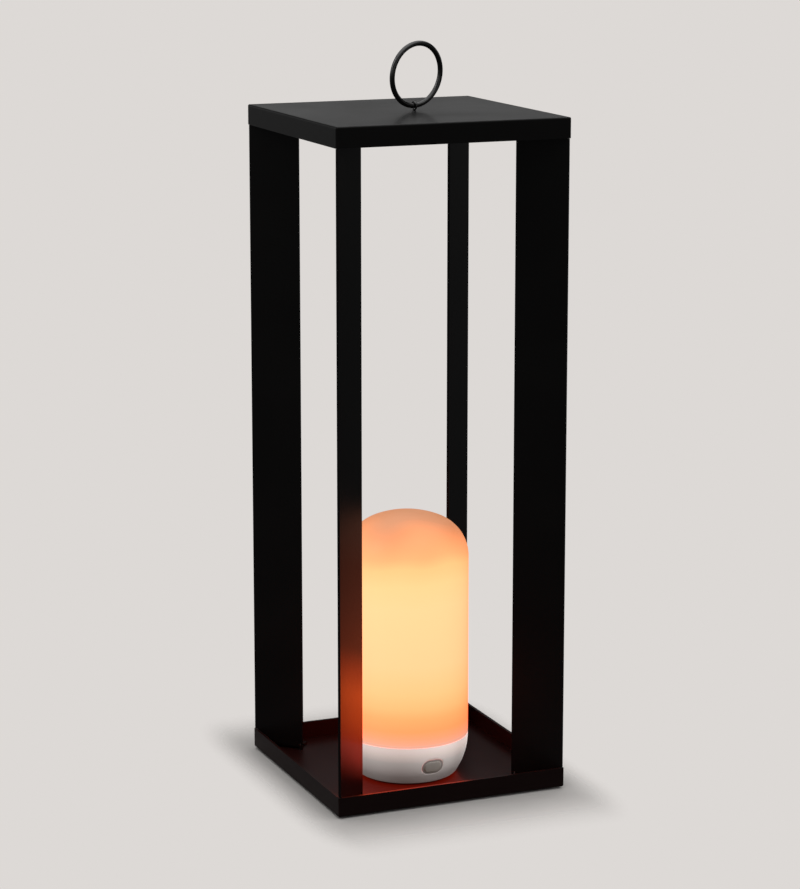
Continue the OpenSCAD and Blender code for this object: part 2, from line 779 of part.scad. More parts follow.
module control_board() {
    wall_r = arc_x + sqrt(pow(base_round - base_t, 2) - pow(arc_z - board_h, 2));
    tongue_end = sqrt(pow(wall_r - seat_gap, 2) - pow(tongue_w / 2, 2));
    color(board_green) at_lamp() difference() {
        translate([0, 0, board_h]) union() {
            cylinder(d = board_d, h = board_t);
            translate([-tongue_w / 2, 0, 0]) cube([tongue_w, tongue_end, board_t]);
            // Charging chip, driver chip and the driver's choke
            for (c = [[155, charge_chip_w, chip_t], [40, drive_chip_w, chip_t], [325, choke_w, choke_h]])
                rotate(c[0]) translate([chip_r, 0, (board_t + c[2]) / 2])
                    cube([c[1], c[1], board_t + c[2]], center = true);
        }
        for (a = [0, 120, 240]) rotate(a) translate([post_r, 0, board_h - past])
            cylinder(r = post_top_d / 2 + slip_gap, h = board_t + 2 * past);
        // Room for the switch and its ribs
        translate([-rib_x - 2 * rib_t, -board_d, board_h - past])
            cube([2 * (rib_x + 2 * rib_t), board_d - button_y + board_back + 3 * past, board_t + 2 * past]);
    }
}

module charging_socket() {
    color(steel) at_lamp() translate([0, socket_y, socket_z]) rotate([90, 0, 0]) difference() {
        linear_extrude(socket_l) stadium(socket_w, socket_h);
        translate([0, 0, -past]) linear_extrude(socket_l - socket_t + past)
            stadium(socket_w - 2 * socket_t, socket_h - 2 * socket_t);
    }
}

module socket_tongue() {
    tongue_l = socket_l - socket_t - socket_tongue_gap;
    color(rubber) at_lamp()
        translate([-contact_tongue_w / 2, socket_y - socket_l + socket_t, socket_z - contact_tongue_t / 2])
            cube([contact_tongue_w, tongue_l, contact_tongue_t]);
}

// ---- Button and switch ----

module switch_board() {
    color(board_green) at_button() translate([0, 0, -board_back + switch_board_t / 2])
        cube([2 * (rib_x + rib_slot) - slip_gap, switch_board_h, switch_board_t], center = true);
}

module push_switch() {
    color(steel) at_button() difference() {
        translate([0, 0, -switch_z - switch_t / 2]) cube([switch_w, switch_w, switch_t], center = true);
        translate([0, 0, -switch_z - plunger_in - button_travel - slip_gap])
            cylinder(r = plunger_d / 2 + hole_gap, h = switch_t);
    }
}

module switch_plunger() {
    color(rubber) at_button() translate([0, 0, -switch_z - plunger_in])
        cylinder(d = plunger_d, h = plunger_in + plunger_out);
}

module button_seal() {
    color(rubber) at_button() difference() {
        intersection() {
            button_post(slip_gap + seal_w - hole_gap, -seal_drop - seal_t, past);
            translate([0, 0, -button_dome + slip_gap]) sphere(button_dome, $fn = 200);
        }
        button_post(slip_gap, -seal_drop - seal_t - past, 2 * past);
    }
}

module power_button() {
    color(grey) at_button() {
        intersection() {
            button_post(0, -button_back, 2 * past);
            translate([0, 0, -button_dome + button_proud]) sphere(button_dome, $fn = 128);
        }
        button_post(flange_w, -button_back, -button_back + flange_t);
    }
}

base_tray();
top_cover();
upright_front_left();
upright_front_right();
upright_back_right();
upright_back_left();
tray_screws();
cover_studs();
cover_nuts();
foot_pads();
ring_eye();
eye_washer();
carry_ring();
lamp_base();
base_plate();
base_plate_screws();
rubber_foot();
diffuser();
light_deck();
deck_screws();
light_column();
column_screws();
led_strips();
column_cap();
battery_cell();
battery_contacts();
control_board();
charging_socket();
socket_tongue();
switch_board();
push_switch();
switch_plunger();
button_seal();
power_button();
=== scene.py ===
# %% [markdown]
# # A lantern with a loose lamp
#
# The object is a square lantern of black powder-coated steel: a folded tray, a folded cover, four
# flat bars that stand on the diagonals, and a wire ring on top. On the tray stands a rechargeable
# lamp with an opal dome over a white moulded base. The CAD model gives every part its size and
# place. This script gives the parts their finish, replaces the few whose surface has to be smooth,
# and sets up the studio.

# %% Load the frame
import json
import math

import bmesh
import bpy
import numpy as np
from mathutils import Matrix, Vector


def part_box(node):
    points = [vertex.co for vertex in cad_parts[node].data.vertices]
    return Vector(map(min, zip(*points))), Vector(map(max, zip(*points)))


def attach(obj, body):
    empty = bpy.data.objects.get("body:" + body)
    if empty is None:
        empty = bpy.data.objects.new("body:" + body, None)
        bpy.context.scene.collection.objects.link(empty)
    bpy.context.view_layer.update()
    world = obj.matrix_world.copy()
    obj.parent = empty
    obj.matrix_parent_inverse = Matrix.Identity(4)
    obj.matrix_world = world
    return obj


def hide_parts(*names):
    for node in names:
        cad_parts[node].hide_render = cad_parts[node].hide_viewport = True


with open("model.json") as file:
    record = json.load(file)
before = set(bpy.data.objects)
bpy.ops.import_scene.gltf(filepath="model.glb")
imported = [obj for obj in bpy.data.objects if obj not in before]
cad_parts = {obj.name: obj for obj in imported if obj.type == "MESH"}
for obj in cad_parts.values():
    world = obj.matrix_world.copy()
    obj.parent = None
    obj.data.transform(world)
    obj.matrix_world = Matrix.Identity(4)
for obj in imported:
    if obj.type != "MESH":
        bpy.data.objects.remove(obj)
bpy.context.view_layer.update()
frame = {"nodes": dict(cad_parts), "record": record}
MM = 0.001
nodes = frame["nodes"]
bodies = frame["record"]["behaviour"]["bodies"]
body_of_node = {node: body for body, group in bodies.items() for node in group}
slot_of_node = {row["node"]: row["material_slot"] for row in frame["record"]["subparts"]}
print("CAD nodes:", len(nodes), "bodies:", list(bodies))

# %% [markdown]
# ## Surfaces from two parameters
#
# Most pieces that are worth replacing are turned or swept: a profile carried round an axis, or a
# circle carried along a wire. Both are a grid of points, one parameter along the profile or wire
# and the other round it. Working the whole grid out as one array is short and quick, and the same
# helper then makes the faces for every such piece.

# %% Faces of a grid of points
SAME_POINT = 0.002 * MM
NO_LENGTH = 0.001 * MM


def grid_faces(rows, columns):
    """Quads between neighbouring rows; the last column joins the first one again."""
    index = np.arange(rows * columns).reshape(rows, columns)
    right = np.roll(index, -1, axis=1)
    quads = np.stack([index[:-1], right[:-1], right[1:], index[1:]], axis=-1)
    return quads.reshape(-1, 4)


def new_piece(name, grid):
    """A mesh object from a (rows, columns, 3) grid. Points that meet at a pole or a seam are
    merged first, and the faces are turned outwards after that."""
    rows, columns, _ = grid.shape
    mesh = bpy.data.meshes.new(name)
    mesh.from_pydata(grid.reshape(-1, 3), [], grid_faces(rows, columns).tolist())
    tidy = bmesh.new()
    tidy.from_mesh(mesh)
    bmesh.ops.remove_doubles(tidy, verts=tidy.verts, dist=SAME_POINT)
    bmesh.ops.dissolve_degenerate(tidy, edges=tidy.edges, dist=NO_LENGTH)
    bmesh.ops.recalc_face_normals(tidy, faces=tidy.faces)
    tidy.to_mesh(mesh)
    tidy.free()
    mesh.shade_smooth()
    piece = bpy.data.objects.new(name, mesh)
    bpy.context.scene.collection.objects.link(piece)
    return piece


# %% Turning a profile round an axis
def turned(profile, around, centre):
    """Point (u, v) is the profile's radius at u times (cos v, sin v), at the profile's height at u,
    all moved to the centre. profile is rows of radius and height."""
    turn = np.linspace(0, 2 * np.pi, around, endpoint=False)
    radius, height = np.asarray(profile, float).T
    grid = np.empty((len(radius), around, 3))
    grid[..., 0] = radius[:, None] * np.cos(turn)
    grid[..., 1] = radius[:, None] * np.sin(turn)
    grid[..., 2] = height[:, None]
    return grid + np.asarray(centre, float)


# %% Sweeping a wire along a flat path
CAP_STEPS = 6


def round_ends(path, radius):
    """The path and its radii with a half sphere on each end: past an end, the path runs on by the
    radius times sin a, and the radius shrinks to itself times cos a, for a up to a right angle."""
    a = np.linspace(0, np.pi / 2, CAP_STEPS)[1:]
    run, shrink = radius * np.sin(a), radius * np.cos(a)
    back, on = path[0] - path[1], path[-1] - path[-2]
    first = path[0] + np.outer(run, back / np.linalg.norm(back))
    last = path[-1] + np.outer(run, on / np.linalg.norm(on))
    size = np.full(len(path), float(radius))
    return np.vstack([first[::-1], path, last]), np.concatenate([shrink[::-1], size, shrink])


def swept(path, plane_normal, radius, around, closed=False):
    """Point (u, v) is the path's point at u plus the radius at u times (cos v along the path's
    side, and sin v along the normal of the plane that the path lies in)."""
    path = np.asarray(path, float)
    if closed:
        size = np.full(len(path), float(radius))
        tangent = np.roll(path, -1, axis=0) - np.roll(path, 1, axis=0)
    else:
        path, size = round_ends(path, radius)
        tangent = np.gradient(path, axis=0)
    tangent /= np.linalg.norm(tangent, axis=1, keepdims=True)
    up = np.asarray(plane_normal, float)
    up /= np.linalg.norm(up)
    side = np.cross(up, tangent)
    turn = np.linspace(0, 2 * np.pi, around, endpoint=False)
    ring = side[:, None, :] * np.cos(turn)[None, :, None] + up * np.sin(turn)[None, :, None]
    grid = path[:, None, :] + size[:, None, None] * ring
    return np.concatenate([grid, grid[:1]]) if closed else grid


# %% [markdown]
# ## Smoothed copies
#
# The moulded base has a button sleeve, posts and a socket window cut into it, which no simple grid
# can hold. Its CAD mesh already has the right shape, but it is loose triangles, which shade flat. A
# copy with its points merged, smooth faces and sharp edges kept where they turn by more than
# 30 degrees shows the same shape without facets.

# %% Smooth copy of a CAD node
SHARP_TURN = math.radians(30)


def smoothed(node):
    """Copies a CAD node's mesh, merges its points and shades it smooth up to its sharp edges."""
    mesh = nodes[node].data.copy()
    mesh.materials.clear()
    tidy = bmesh.new()
    tidy.from_mesh(mesh)
    bmesh.ops.remove_doubles(tidy, verts=tidy.verts, dist=NO_LENGTH)
    tidy.to_mesh(mesh)
    tidy.free()
    mesh.shade_smooth()
    mesh.set_sharp_from_angle(angle=SHARP_TURN)
    piece = bpy.data.objects.new(node + "_smooth", mesh)
    bpy.context.scene.collection.objects.link(piece)
    weigh = piece.modifiers.new("even shading", "WEIGHTED_NORMAL")
    weigh.keep_sharp = True
    return piece


# %% [markdown]
# ## Taking a part's place
#
# The ring swings, the lamp lifts out and the button goes in, so a new piece has to move with the
# part that it stands for. Each could be parented by hand, but one would soon be forgotten. One
# helper gives each piece its material and its body, and hides the CAD part.

# %% Put a piece in place
def put(piece, material, replaced):
    """Gives a new piece its material, and the body of the node that it stands for."""
    piece.data.materials.append(material)
    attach(piece, body_of_node[replaced])
    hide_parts(replaced)
    print(piece.name, "has", len(piece.data.polygons), "faces and stands for", replaced)


# %% [markdown]
# ## Shared effects
#
# Powder coat, moulded plastic and rubber are never perfectly even: a fine skin catches the light,
# and the gloss drifts a little over a hand's width. One node group makes that surface for every
# finish, each with its own grain size. A second group finds edges, where a coat rubs thin and where
# a painted highlight lightens it: it compares the true normal with one that is rounded over a short
# radius, and the two differ only near an edge.

# %% Node helpers
def add(tree, kind, **values):
    """A node of that kind; names that end in an underscore are inputs, the others are settings."""
    node = tree.nodes.new(kind)
    for key, value in values.items():
        if key.endswith("_"):
            node.inputs[key[:-1].replace("_", " ")].default_value = value
        else:
            setattr(node, key, value)
    return node


def maths(tree, operation, first, second, clamp=False):
    """One Math node; first and second are numbers or sockets."""
    node = add(tree, "ShaderNodeMath", operation=operation, use_clamp=clamp)
    for place, value in enumerate((first, second)):
        if isinstance(value, bpy.types.NodeSocket):
            tree.links.new(value, node.inputs[place])
        else:
            node.inputs[place].default_value = value
    return node.outputs[0]


def ramp(tree, factor, stops):
    """A colour ramp from (place, colour) stops; a colour may be one grey number."""
    node = add(tree, "ShaderNodeValToRGB")
    elements = node.color_ramp.elements
    while len(elements) < len(stops):
        elements.new(0.5)
    for element, (place, colour) in zip(elements, stops):
        element.position = place
        element.color = (*((colour,) * 3 if isinstance(colour, (int, float)) else colour), 1)
    tree.links.new(factor, node.inputs["Fac"])
    return node.outputs["Color"]


def shared_group(name, inputs, outputs):
    """An empty shader group with a vector input and number inputs and outputs of these names, plus
    its two ends."""
    group = bpy.data.node_groups.new(name, "ShaderNodeTree")
    group.interface.new_socket("Vector", in_out="INPUT", socket_type="NodeSocketVector")
    for title, value in inputs.items():
        socket = group.interface.new_socket(title, in_out="INPUT", socket_type="NodeSocketFloat")
        socket.default_value = value
    for title in outputs:
        group.interface.new_socket(title, in_out="OUTPUT", socket_type="NodeSocketFloat")
    return group, group.nodes.new("NodeGroupInput"), group.nodes.new("NodeGroupOutput")


# %% Surface skin group
FINER = 2.7
FINER_SHARE = 0.4
skin, skin_in, skin_out = shared_group("surface skin", {"Grain": 900.0}, ("Height", "Drift"))
coarse = add(skin, "ShaderNodeTexNoise", Detail_=3.0, Roughness_=0.55)
fine = add(skin, "ShaderNodeTexNoise", Detail_=2.0)
drift = add(skin, "ShaderNodeTexNoise", Scale_=11.0, Detail_=4.0, Distortion_=0.6)
for texture in (coarse, fine, drift):
    skin.links.new(skin_in.outputs["Vector"], texture.inputs["Vector"])
skin.links.new(skin_in.outputs["Grain"], coarse.inputs["Scale"])
skin.links.new(maths(skin, "MULTIPLY", skin_in.outputs["Grain"], FINER), fine.inputs["Scale"])
fine_part = maths(skin, "MULTIPLY", fine.outputs["Fac"], FINER_SHARE)
height = maths(skin, "ADD", coarse.outputs["Fac"], fine_part)
skin.links.new(height, skin_out.inputs["Height"])
skin.links.new(drift.outputs["Fac"], skin_out.inputs["Drift"])
print("the skin group has", len(skin.nodes), "nodes")

# %% Edge group
# Paler edges: partly rubbed coat, partly painted highlight.
edge, edge_in, edge_out = shared_group("rubbed edge and painted highlight", {"Amount": 1.0}, ("Mask",))
rounded = add(edge, "ShaderNodeBevel", samples=6, Radius_=0.7 * MM)
true_normal = add(edge, "ShaderNodeNewGeometry")
apart = add(edge, "ShaderNodeVectorMath", operation="DISTANCE")
edge.links.new(rounded.outputs["Normal"], apart.inputs[0])
edge.links.new(true_normal.outputs["Normal"], apart.inputs[1])
broken = add(edge, "ShaderNodeTexNoise", Scale_=60.0, Detail_=5.0)
edge.links.new(edge_in.outputs["Vector"], broken.inputs["Vector"])
patchy = maths(edge, "MULTIPLY", apart.outputs["Value"], broken.outputs["Fac"])
mask = maths(edge, "MULTIPLY", patchy, edge_in.outputs["Amount"], clamp=True)
edge.links.new(mask, edge_out.inputs["Mask"])
print("the edge group has", len(edge.nodes), "nodes")

# %% [markdown]
# ## A finish for every part
#
# All finishes share one recipe: a colour that drifts a little between two shades, a roughness that
# drifts with it, and the skin as a very shallow bump. What is even all over, such as the specular
# level, is typed on the shader's own socket. The Object coordinate fixes each pattern to its piece.

# %% Finish maker
DRIFT_LOW, DRIFT_HIGH = 0.3, 0.7
EDGE_AMOUNT = 0.8


def finish(name, dark, light, gloss, grain, depth, edge_wear_and_highlight_colour=None, **sockets):
    """A Principled material: base colour between dark and light, roughness between the two gloss
    values, both by the skin's drift, and the skin's height as a bump of that depth in metres."""
    material = bpy.data.materials.new(name)
    material.use_nodes = True
    tree = material.node_tree
    shader = tree.nodes["Principled BSDF"]
    place = add(tree, "ShaderNodeTexCoord").outputs["Object"]
    surface = add(tree, "ShaderNodeGroup", node_tree=skin, Grain_=grain)
    tree.links.new(place, surface.inputs["Vector"])
    drifting = surface.outputs["Drift"]
    colour = ramp(tree, drifting, [(DRIFT_LOW, dark), (DRIFT_HIGH, light)])
    if edge_wear_and_highlight_colour:
        edge_mark = add(tree, "ShaderNodeGroup", node_tree=edge, Amount_=EDGE_AMOUNT)
        tree.links.new(place, edge_mark.inputs["Vector"])
        mix = add(tree, "ShaderNodeMix", data_type="RGBA")
        tree.links.new(edge_mark.outputs["Mask"], mix.inputs["Factor"])
        tree.links.new(colour, mix.inputs["A"])
        mix.inputs["B"].default_value = (*edge_wear_and_highlight_colour, 1)
        colour = mix.outputs["Result"]
    tree.links.new(colour, shader.inputs["Base Color"])
    roughness = ramp(tree, drifting, [(DRIFT_LOW, gloss[0]), (DRIFT_HIGH, gloss[1])])
    tree.links.new(roughness, shader.inputs["Roughness"])
    bump = add(tree, "ShaderNodeBump", Strength_=1.0, Distance_=depth)
    tree.links.new(surface.outputs["Height"], bump.inputs["Height"])
    tree.links.new(bump.outputs["Normal"], shader.inputs["Normal"])
    for key, value in sockets.items():
        shader.inputs[key.replace("_", " ")].default_value = value
    return material


# %% [markdown]
# ## Powder coat and metals
#
# The frame's coat is a deep satin black with a fine grain, a little paler at its edges, where the
# coat is rubbed thin and a painted highlight lightens it. Its gloss is low, so that only light from
# a flat angle shows on it. The tray's coat is a little redder, which is painted glow: it stands for
# the lamp's red light on the tray. The ring's wire is smoother and catches a narrow streak of
# light.
# Screws and contacts are bare metal.

# %% Powder coat and the small metals
BLACK = (0.0027, 0.0024, 0.0023)
BLACK_LIGHT = (0.0040, 0.0036, 0.0034)
# Painted glow: the tray's coat is redder than the frame's, for the lamp's red light on the tray.
TRAY_GLOW_DARK = (0.0066, 0.0022, 0.0020)
TRAY_GLOW_LIGHT = (0.0086, 0.0030, 0.0027)
# The edge colour is rubbed coat and painted highlight in one.
EDGE_WEAR_AND_HIGHLIGHT = (0.012, 0.011, 0.011)
COAT_GRAIN = 1300.0
COAT_DEPTH = 0.02 * MM
powder = finish("satin powder coat", BLACK, BLACK_LIGHT, (0.28, 0.33), COAT_GRAIN, COAT_DEPTH,
                edge_wear_and_highlight_colour=EDGE_WEAR_AND_HIGHLIGHT, Specular_IOR_Level=0.12)
tray_coat_painted_glow = finish("tray powder coat with painted glow", TRAY_GLOW_DARK, TRAY_GLOW_LIGHT, (0.29, 0.34), COAT_GRAIN, COAT_DEPTH,
                   edge_wear_and_highlight_colour=EDGE_WEAR_AND_HIGHLIGHT, Specular_IOR_Level=0.11)
wire_black = finish("black wire", BLACK, BLACK_LIGHT, (0.20, 0.26), 2500.0, 0.004 * MM,
                    Specular_IOR_Level=0.85)
zinc = finish("zinc plate", (0.42, 0.42, 0.44), (0.55, 0.55, 0.57), (0.28, 0.4), 2200.0,
              0.004 * MM, Metallic=1.0)
nickel = finish("nickel contact", (0.6, 0.57, 0.52), (0.7, 0.67, 0.62), (0.2, 0.3), 3000.0,
                0.003 * MM, Metallic=1.0)
print("coats and metals:", [row.name for row in (powder, tray_coat_painted_glow, wire_black, zinc, nickel)])

# %% [markdown]
# ## Rubber, plastic and the parts inside
#
# The pads are matt black rubber. The button and its seal are grey rubber that a little of the
# lamp's light comes through, which a faint even emission gives. The parts inside, such as boards,
# strips and the cell, can't be seen unless the lamp is taken apart, but each has its own finish.

# %% Rubber, plastic and the parts inside
pad_rubber = finish("pad rubber", (0.012, 0.012, 0.012), (0.02, 0.02, 0.02), (0.7, 0.8), 1600.0,
                    0.02 * MM)
seal_grey = finish("seal rubber", (0.30, 0.28, 0.26), (0.34, 0.32, 0.30), (0.55, 0.65), 2600.0,
                   0.008 * MM, Emission_Color=(0.045, 0.036, 0.032, 1), Emission_Strength=1.0)
button_grey = finish("button rubber", (0.42, 0.40, 0.38), (0.48, 0.46, 0.44), (0.45, 0.55), 2600.0,
                     0.008 * MM, Emission_Color=(0.034, 0.020, 0.011, 1), Emission_Strength=1.0)
black_moulding = finish("black moulding", (0.02, 0.02, 0.02), (0.03, 0.03, 0.03), (0.4, 0.5),
                        2400.0, 0.006 * MM)
cell_sleeve = finish("cell sleeve", (0.02, 0.10, 0.24), (0.03, 0.13, 0.28), (0.3, 0.38), 1800.0,
                     0.004 * MM)
board_mask = finish("board solder mask", (0.01, 0.09, 0.04), (0.015, 0.13, 0.06), (0.25, 0.35),
                    2600.0, 0.006 * MM)
strip_white = finish("strip white", (0.7, 0.66, 0.5), (0.8, 0.76, 0.6), (0.4, 0.5), 2400.0,
                     0.006 * MM)
print("finishes so far:", len(bpy.data.materials))

# %% [markdown]
# ## The glow
#
# The lamp's light leaves the whole opal dome. On the real lamp it is pale yellow where the light
# column is, and more orange towards the crown and just above the seam, where the light has gone
# further through the plastic. The light could be scattered through a real wall, but that is slow
# and noisy, so an emission colour that depends on the height above the seam stands for it. A little
# slow noise and a slight lean keep the bands from looking ruled.
#
# A picture cuts red off at full white, while the lamp's true light is redder than it looks there.
# So each glow has two ramps: the one that the camera meets, and a deeper one that falls on the
# metal. Light Path tells the two kinds of ray apart.

# %% Heights that the glow follows
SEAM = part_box("lamp_base")[1].z
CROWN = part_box("diffuser")[1].z
LAMP_AXIS = (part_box("diffuser")[0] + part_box("diffuser")[1]) / 2
print("seam at", round(SEAM, 4), "crown at", round(CROWN, 4))


def height_share(tree, low, high, lean=0.0, wander=0.0):
    """0 at the low height and 1 at the high one, plus lean times x and wander times slow noise,
    both times the cube of the share, so that they only show near the high end."""
    place = add(tree, "ShaderNodeTexCoord").outputs["Object"]
    parts = add(tree, "ShaderNodeSeparateXYZ")
    tree.links.new(place, parts.inputs[0])
    share = add(tree, "ShaderNodeMapRange", From_Min_=low, From_Max_=high)
    tree.links.new(parts.outputs["Z"], share.inputs["Value"])
    slow = add(tree, "ShaderNodeTexNoise", Scale_=13.0, Detail_=1.0)
    tree.links.new(place, slow.inputs["Vector"])
    sway = maths(tree, "MULTIPLY", maths(tree, "SUBTRACT", slow.outputs["Fac"], 0.5), wander)
    off_axis = maths(tree, "SUBTRACT", parts.outputs["X"], LAMP_AXIS.x)
    tilt = maths(tree, "MULTIPLY", off_axis, lean)
    growth = maths(tree, "POWER", share.outputs["Result"], 3.0)
    shift = maths(tree, "MULTIPLY", maths(tree, "ADD", sway, tilt), growth)
    return maths(tree, "ADD", share.outputs["Result"], shift, clamp=True)


# %% Seen glow and cast glow
def two_glows(material, share, strength, seen_stops, cast_stops, cast_gain):
    """Emission by the height share: the seen stops for the camera's rays, and the cast stops times
    the gain for all the other rays."""
    tree = material.node_tree
    shader = tree.nodes["Principled BSDF"]
    stronger = [(place, tuple(cast_gain * part for part in colour)) for place, colour in cast_stops]
    either = add(tree, "ShaderNodeMix", data_type="RGBA")
    camera_ray = add(tree, "ShaderNodeLightPath").outputs["Is Camera Ray"]
    tree.links.new(camera_ray, either.inputs["Factor"])
    tree.links.new(ramp(tree, share, stronger), either.inputs["A"])
    tree.links.new(ramp(tree, share, seen_stops), either.inputs["B"])
    tree.links.new(either.outputs["Result"], shader.inputs["Emission Color"])
    shader.inputs["Emission Strength"].default_value = strength


# %% [markdown]
# ## Opal plastic
#
# The dome is satin opal plastic, from the seam at 0 to the crown at 1. Its outline looks deeper
# orange than its middle. A fine sheen does that: it takes over from what lies below it at a flat
# angle, and its own colour there is orange.

# %% Opal plastic
DOME_STRENGTH = 4.5
DOME_SEEN = [
    (0.000, (0.14, 0.093, 0.076)),
    (0.015, (0.23, 0.083, 0.051)),
    (0.040, (0.60, 0.077, 0.035)),
    (0.075, (0.90, 0.075, 0.022)),
    (0.130, (0.90, 0.090, 0.027)),
    (0.174, (0.90, 0.111, 0.038)),
    (0.240, (0.90, 0.128, 0.049)),
    (0.364, (0.90, 0.142, 0.063)),
    (0.450, (0.80, 0.145, 0.065)),
    (0.620, (0.50, 0.150, 0.067)),
    (0.725, (0.40, 0.147, 0.061)),
    (0.800, (0.34, 0.130, 0.049)),
    (0.840, (0.30, 0.094, 0.034)),
    (0.870, (0.26, 0.078, 0.027)),
    (0.920, (0.185, 0.053, 0.017)),
    (0.960, (0.130, 0.041, 0.016)),
    (1.000, (0.115, 0.040, 0.018)),
]
DOME_CAST_GAIN = 1.78
DOME_CAST = [
    (0.00, (0.46, 0.023, 0.003)),
    (0.10, (0.67, 0.058, 0.006)),
    (0.22, (0.84, 0.088, 0.012)),
    (0.33, (0.50, 0.050, 0.010)),
    (0.42, (0.18, 0.025, 0.008)),
    (0.60, (0.12, 0.019, 0.008)),
    (0.80, (0.08, 0.013, 0.006)),
    (1.00, (0.04, 0.008, 0.005)),
]
opal = finish("opal plastic", (0.28, 0.20, 0.13), (0.32, 0.23, 0.15), (0.36, 0.42), 1500.0,
              0.003 * MM, Specular_IOR_Level=0.15, Sheen_Weight=0.6, Sheen_Roughness=0.5,
              Sheen_Tint=(1.0, 0.35, 0.10, 1))
dome_share = height_share(opal.node_tree, SEAM, CROWN, lean=0.2, wander=0.35)
two_glows(opal, dome_share, DOME_STRENGTH, DOME_SEEN, DOME_CAST, DOME_CAST_GAIN)
print("the dome's glow has", len(DOME_SEEN), "seen and", len(DOME_CAST), "cast stops")

# %% [markdown]
# ## White moulding
#
# The base is white plastic, and its emission is painted glow. Light leaks down its wall from the
# dome, so its upper edge glows, and the glow fades over 24 mm to a faint even glow that also
# brightens the rest of the base. Two ramps of its own do that over this shorter height; the cast
# one sends a deep red glow from the whole base onto the metal round it.

# %% White moulding
GLOW_FADE_HEIGHT = 24 * MM
BASE_STRENGTH = 1.0
# Painted glow seen by the camera: bright at the seam, faint and even over the rest of the base.
BASE_SEEN = [
    (0.00, (0.055, 0.040, 0.035)),
    (0.24, (0.115, 0.088, 0.080)),
    (0.50, (0.175, 0.140, 0.125)),
    (0.73, (0.345, 0.250, 0.220)),
    (0.90, (0.445, 0.320, 0.285)),
    (1.00, (0.430, 0.335, 0.295)),
]
# Painted red glow that the whole base casts on the metal round it.
BASE_CAST_GAIN = 3.5
BASE_CAST = [
    (0.0, (0.30, 0.010, 0.001)),
    (0.5, (0.80, 0.030, 0.002)),
    (1.0, (1.00, 0.045, 0.004)),
]
white = finish("white moulding", (0.72, 0.70, 0.68), (0.80, 0.78, 0.76), (0.38, 0.46), 1700.0,
               0.004 * MM)
base_share = height_share(white.node_tree, SEAM - GLOW_FADE_HEIGHT, SEAM)
two_glows(white, base_share, BASE_STRENGTH, BASE_SEEN, BASE_CAST, BASE_CAST_GAIN)
print("the base glows from", round(SEAM - GLOW_FADE_HEIGHT, 4), "up to the seam")

# %% [markdown]
# ## The lantern's metalwork
#
# The tray, the cover and the bars are flat sheet with tight folds, so their CAD meshes can be shown
# as they are, with the powder coat in their material slots. A table from the record's slots to the
# finishes covers every part, seen or not.

# %% Finishes on the CAD nodes
FINISH_OF_SLOT = {
    "frame_paint": powder, "ring_paint": wire_black, "zinc": zinc, "contact_metal": nickel,
    "foot_rubber": pad_rubber, "seal_rubber": seal_grey, "button_rubber": button_grey,
    "white_plastic": white, "opal_plastic": opal, "led_strip": strip_white,
    "cell_sleeve": cell_sleeve, "circuit_board": board_mask, "black_plastic": black_moulding,
}
FINISH_OF_NODE = {"base_tray": tray_coat_painted_glow}
for node, piece in nodes.items():
    piece.data.materials.clear()
    coat = FINISH_OF_NODE.get(node, FINISH_OF_SLOT[slot_of_node[node]])
    piece.data.materials.append(coat)
print("finishes on", len(nodes), "CAD nodes")

# %% [markdown]
# ## The ring
#
# The ring is one closed round wire that leans a little to the front. A faceted highlight would show
# at once on it, so it is swept again from its centre line, with the CAD ring's middle as its own.

# %% Carrying ring
RING_WIRE = 3.8 * MM
RING_RADIUS = 22.8 * MM
RING_TURN = math.radians(17.5)
RING_LEAN = math.radians(6)
RING_STEPS, RING_AROUND = 160, 32
ring_across = np.array([math.cos(RING_TURN), math.sin(RING_TURN), 0])
eye_across = np.array([-math.sin(RING_TURN), math.cos(RING_TURN), 0])
upright = np.array([0, 0, 1])
ring_up = math.cos(RING_LEAN) * upright - math.sin(RING_LEAN) * eye_across
ring_centre = np.array(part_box("carry_ring")[0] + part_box("carry_ring")[1]) / 2


def circle_path(centre, radius, across, up, count):
    """The centre plus the radius times (cos u across, sin u up), once round."""
    u = np.linspace(0, 2 * np.pi, count, endpoint=False)[:, None]
    return centre + radius * (np.cos(u) * across + np.sin(u) * up)


ring_path = circle_path(ring_centre, RING_RADIUS, ring_across, ring_up, RING_STEPS)
ring_normal = np.cross(ring_across, ring_up)
ring_grid = swept(ring_path, ring_normal, RING_WIRE / 2, RING_AROUND, closed=True)
ring = new_piece("ring_wire", ring_grid)
put(ring, wire_black, "carry_ring")

# %% [markdown]
# ## The eye
#
# The eye is a split pin: a loop of thin wire whose two legs go down side by side through the cover
# and are spread below it. Its centre line lies in one plane, so one sweep makes the whole pin: up
# the right leg, round the loop, and down the left one.

# %% Split-pin eye
EYE_WIRE = 1.2 * MM
EYE_LOOP = 2.8 * MM
EYE_LEG = 4 * MM
LEG_GAP = 0.1 * MM
LOOP_STEPS, LEG_STEPS, BEND_STEPS, EYE_AROUND = 48, 6, 8, 16
eye_low, eye_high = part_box("ring_eye")
eye_middle = np.array([(eye_low.x + eye_high.x) / 2, (eye_low.y + eye_high.y) / 2,
                       eye_high.z - EYE_LOOP - EYE_WIRE / 2])
leg_half = (EYE_WIRE + LEG_GAP) / 2
half_gap = math.asin(leg_half / EYE_LOOP)
loop_turn = np.linspace(-math.pi / 2 + half_gap, math.pi * 1.5 - half_gap, LOOP_STEPS)
loop = EYE_LOOP * (np.outer(np.cos(loop_turn), eye_across) + np.outer(np.sin(loop_turn), upright))
foot_drop = eye_low.z + EYE_WIRE / 2 - eye_middle[2]
leg_drop = foot_drop + EYE_WIRE
bend = np.linspace(0, math.pi / 2, BEND_STEPS)
leg_across = np.concatenate([np.full(LEG_STEPS, leg_half), leg_half + EYE_WIRE * (1 - np.cos(bend)),
                             [leg_half + EYE_WIRE + EYE_LEG]])
